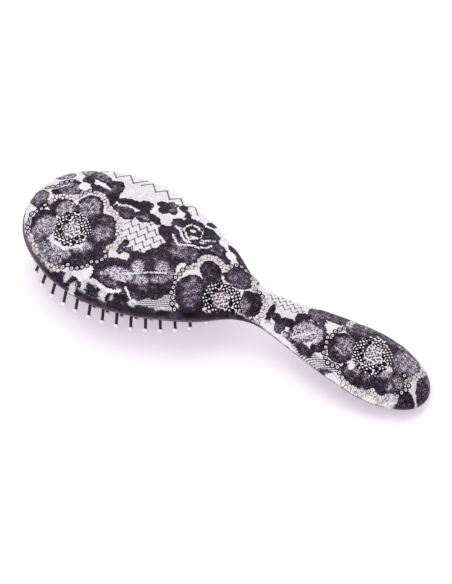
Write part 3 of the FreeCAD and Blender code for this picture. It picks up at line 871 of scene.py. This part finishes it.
def rubber_material():
    """Soft black rubber with a dusty bloom and faint moulding grain."""
    n = Nodes("cushion_rubber")
    place = n.object_place()
    dust = n.noise(place, 90.0, 4.0)
    base = n.mix(n.step(dust, 0.35, 0.75), (0.020, 0.020, 0.022, 1), (0.045, 0.044, 0.047, 1))
    base = n.mix(n.times(n.field("collar"), 0.5), base, (0.085, 0.082, 0.086, 1))
    n.shade(Base_Color=base, Roughness=n.math("MULTIPLY_ADD", dust, 0.18, 0.50))
    n.shade(Sheen_Weight=0.15, Sheen_Roughness=0.5)
    n.bump(n.noise(place, 2600.0), 0.00003, 0.5)
    return n.material


def floor_material():
    """Matt white light table with barely visible unevenness."""
    n = Nodes("light_table")
    pulp = n.noise(n.object_place(), 30.0, 4.0)
    base = n.mix(n.step(pulp, 0.3, 0.7), (0.93, 0.925, 0.935, 1), (0.95, 0.947, 0.955, 1))
    n.shade(Base_Color=base, Roughness=0.9, Specular_IOR_Level=0.1)
    n.shade(Emission_Color=(1.0, 0.86, 1.0, 1), Emission_Strength=0.27)
    return n.material


# ---------------- cushion

EGG_TIP = (-73.0, 33.0)
EGG_NECK = (-24.0, 21.0)
EGG_SIDE = 85.0
EGG_MIDDLE = -55.0
CUSHION_GAP = 0.15
BEAD_MARGIN = 1.0
GROOVE = (19.1, 20.8)
DOME_EDGE = 18.6
DOME_HEIGHT = 4.0
RUBBER = 1.6
RUBBER_WALL = 0.9
PIN_LEAN = 22.0
OUTER_RING = 0.935
RING_STEP = 0.155
OUTER_PINS = 36
FEWER_PINS = 6
RING_PHASE = 0.1
RINGS = 6
VENT = (-9.5, 0.8)
COLLAR_RADIUS = 1.7
COLLAR_HEIGHT = 0.38
CUSHION_ROUND = 320
CUSHION_RADIAL = 130


def egg_arcs():
    """The egg's four arcs, counter-clockwise: centre, radius, first and last angle."""
    gap = EGG_NECK[0] - EGG_TIP[0]
    to_tip = EGG_SIDE - EGG_TIP[1]
    to_neck = EGG_SIDE - EGG_NECK[1]
    along = (gap ** 2 + to_tip ** 2 - to_neck ** 2) / (2 * gap)
    across = math.sqrt(to_tip ** 2 - along ** 2)
    tip_turn = math.atan2(across, -along)
    neck_turn = math.atan2(across, gap - along)
    side_x = EGG_TIP[0] + along
    return [
        (EGG_NECK[0], 0.0, EGG_NECK[1], -neck_turn, neck_turn),
        (side_x, -across, EGG_SIDE, neck_turn, tip_turn),
        (EGG_TIP[0], 0.0, EGG_TIP[1], tip_turn, 2 * math.pi - tip_turn),
        (side_x, across, EGG_SIDE, -tip_turn, -neck_turn),
    ]


def egg_points(count, phase=0.0):
    """Evenly spaced points on the opening's edge, with their outward directions."""
    arcs = egg_arcs()
    lengths = np.array([radius * (last - first) for _, _, radius, first, last in arcs])
    starts = np.concatenate([[0], np.cumsum(lengths)])
    travel = (np.arange(count) + phase) / count * starts[-1]
    which = np.clip(np.searchsorted(starts, travel, side="right") - 1, 0, 3)
    x, y, radius, first, _ = np.array(arcs)[which].T
    angle = first + (travel - starts[which]) / radius
    outward = np.stack([np.cos(angle), np.sin(angle)], -1)
    return np.stack([x, y], -1) + outward * radius[:, None], outward


def pin_roots():
    """Where each pin leaves the rubber, and the way it points."""
    roots = []
    for ring in range(RINGS):
        share = OUTER_RING - ring * RING_STEP
        lean = math.radians(PIN_LEAN) * share / OUTER_RING
        rim, outward = egg_points(OUTER_PINS - ring * FEWER_PINS, RING_PHASE)
        for (x, y), way in zip(rim, outward):
            level = DOME_EDGE - DOME_HEIGHT * (1 - share ** 2)
            root = (EGG_MIDDLE + (x - EGG_MIDDLE) * share, y * share, level)
            roots.append((root, (way[0] * math.sin(lean), way[1] * math.sin(lean), -math.cos(lean))))
    return roots


def build_cushion():
    """Domed rubber pad with its bead, upright edge, a collar round each pin and an air vent."""
    rim, outward = egg_points(CUSHION_ROUND)
    middle = np.array([EGG_MIDDLE, 0.0])
    rows = []

    def ring(margin, height):
        rows.append(np.column_stack([rim + outward * margin, np.full(CUSHION_ROUND, height)]))

    def dome_ring(share, lift, margin):
        plan = middle + (rim + outward * margin - middle) * share
        height = DOME_EDGE - DOME_HEIGHT * (1 - share ** 2) + lift
        rows.append(np.column_stack([plan, np.full(CUSHION_ROUND, height)]))

    bead = BEAD_MARGIN - CUSHION_GAP
    top = GROOVE[1] - CUSHION_GAP
    low = GROOVE[0] + CUSHION_GAP
    inner_margin = -CUSHION_GAP - RUBBER_WALL
    for share in np.linspace(0.01, 1.0, 26):
        dome_ring(share, RUBBER, inner_margin)
    ring(inner_margin, top - 0.15)
    ring(inner_margin + 0.15, top)
    ring(bead - 0.25, top)
    ring(bead, top - 0.25)
    ring(bead, low + 0.25)
    ring(bead - 0.25, low)
    ring(-CUSHION_GAP, low)
    ring(-CUSHION_GAP, DOME_EDGE + 0.15)
    for turn in np.linspace(0.2, 1.0, 4):
        angle = turn * math.pi / 2
        ring(-CUSHION_GAP - 0.35 * (1 - math.cos(angle)), DOME_EDGE + 0.15 - 0.35 * math.sin(angle))
    first_outer = len(rows)
    for share in np.linspace(0.985, 0.004, CUSHION_RADIAL) ** 0.9:
        dome_ring(share, 0.0, -CUSHION_GAP)
    points = np.concatenate(rows)
    outer_start = first_outer * CUSHION_ROUND
    outer = points[outer_start:]
    collar = np.zeros(len(points))
    dig = np.zeros(len(outer))
    for (x, y, _), way in pin_roots():
        gap = np.hypot(outer[:, 0] - x, outer[:, 1] - y)
        near = gap < COLLAR_RADIUS * 1.6
        bell = np.clip(1 - (gap[near] / COLLAR_RADIUS) ** 2, 0, 1)
        dig[near] = np.maximum(dig[near], COLLAR_HEIGHT * np.minimum(1, bell * 1.7))
        collar[outer_start:][near] = np.maximum(collar[outer_start:][near], np.minimum(1, bell * 1.7))
    vent_gap = np.hypot(outer[:, 0] - VENT[0], outer[:, 1])
    dig -= 1.2 * np.clip(1 - (vent_gap / (VENT[1] * 1.3)) ** 4, 0, 1)
    outer[:, 2] -= dig
    count = len(rows)
    faces = []
    for row in range(count - 1):
        a = row * CUSHION_ROUND
        b = a + CUSHION_ROUND
        for column in range(CUSHION_ROUND):
            after = (column + 1) % CUSHION_ROUND
            faces.append([a + column, a + after, b + after, b + column])
    faces.append(list(range(CUSHION_ROUND))[::-1])
    faces.append(list(range((count - 1) * CUSHION_ROUND, count * CUSHION_ROUND)))
    cushion = new_mesh("rubber_cushion", points, faces)
    add_field(cushion, "collar", collar)
    return cushion


# ---------------- build the object

def assign(item, material):
    """Give a piece or a CAD node one material."""
    item.data.materials.clear()
    item.data.materials.append(material)


def recalculate_normals(item):
    """Point every face of a closed mesh outwards."""
    work = bmesh.new()
    work.from_mesh(item.data)
    bmesh.ops.recalc_face_normals(work, faces=work.faces)
    work.to_mesh(item.data)
    work.free()


shell, shell_points, printed, from_seam = build_back_shell()
recalculate_normals(shell)
for field_name, field_values in print_fields(shell_points[:, 0], shell_points[:, 1]).items():
    add_field(shell, field_name, field_values)
add_field(shell, "printed", printed)
add_field(shell, "from_seam", from_seam)
assign(shell, lace_material())
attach(shell, "root")
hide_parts("back_shell")

cushion = build_cushion()
recalculate_normals(cushion)
assign(cushion, rubber_material())
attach(cushion, "root")
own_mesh(cushion)
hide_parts("cushion_pad")

front_material = plastic_material("front_plastic", (0.022, 0.015, 0.023), 0.34, 0.3, 0.0, 900.0, 0.00003)
pin_material = plastic_material("pin_nylon", (0.008, 0.007, 0.009), 0.34, 0.15, 0.0, 1500.0, 0.00002)
tip_material = plastic_material("ball_tip", (0.90, 0.88, 0.90), 0.20, 0.5, 0.6, 1200.0, 0.00001)
for node_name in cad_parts:
    node = bpy.data.objects[node_name]
    if node_name == "front_shell":
        assign(node, front_material)
    elif node_name.startswith("pins_ring"):
        assign(node, pin_material)
    elif node_name.startswith("tips_ring"):
        assign(node, tip_material)

# ---------------- floor, light and camera

FLOOR = 3.0


def build_floor():
    """Large level sheet just under the brush."""
    steps = np.linspace(-FLOOR / 2, FLOOR / 2, 13)
    x, y = np.meshgrid(steps, steps, indexing="ij")
    points = np.stack([x.ravel(), y.ravel(), np.full(x.size, -0.00002)], -1) / MM
    item = new_mesh("studio_floor", points, grid_faces(13, 13, flip=True))
    assign(item, floor_material())


def area_light(name, place, aim, size, power):
    """Square soft box pointed at a place."""
    data = bpy.data.lights.new(name, "AREA")
    data.shape = "SQUARE"
    data.size = size
    data.energy = power
    item = bpy.data.objects.new(name, data)
    item.location = place
    item.rotation_euler = (Vector(aim) - Vector(place)).to_track_quat("-Z", "Y").to_euler()
    bpy.context.scene.collection.objects.link(item)


build_floor()
world = bpy.data.worlds.new("studio")
world.use_nodes = True
background = world.node_tree.nodes["Background"]
background.inputs["Color"].default_value = (1.0, 0.95, 1.0, 1)
background.inputs["Strength"].default_value = 0.56
bpy.context.scene.world = world
bpy.context.scene.view_settings.view_transform = "Standard"
area_light("key", (-0.35, 0.25, 1.0), (0, 0, 0), 0.7, 4.0)
area_light("far_strip", (0.0, 0.9, 0.45), (0, 0, 0.02), 0.8, 4.0)
area_light("near_fill", (-0.1, -0.8, 0.28), (-0.04, 0, 0.005), 0.5, 3.2)

CAMERA_AZIMUTH = math.radians(27.3)
CAMERA_ELEVATION = math.radians(59.76)
CAMERA_DISTANCE = 984.25 * MM
CAMERA_AIM = Vector((-2.83, 5.3, 10.0)) * MM
backward = Vector((math.sin(CAMERA_AZIMUTH) * math.cos(CAMERA_ELEVATION),
                   -math.cos(CAMERA_AZIMUTH) * math.cos(CAMERA_ELEVATION),
                   math.sin(CAMERA_ELEVATION)))
camera_data = bpy.data.cameras.new("camera")
camera_data.lens = 119.56
camera_data.sensor_width = 36.0
camera_data.sensor_fit = "VERTICAL"
camera_data.sensor_height = 36.0
camera = bpy.data.objects.new("camera", camera_data)
camera.location = CAMERA_AIM + backward * CAMERA_DISTANCE
camera.rotation_euler = (-backward).to_track_quat("-Z", "Y").to_euler()
bpy.context.scene.collection.objects.link(camera)
bpy.context.scene.camera = camera
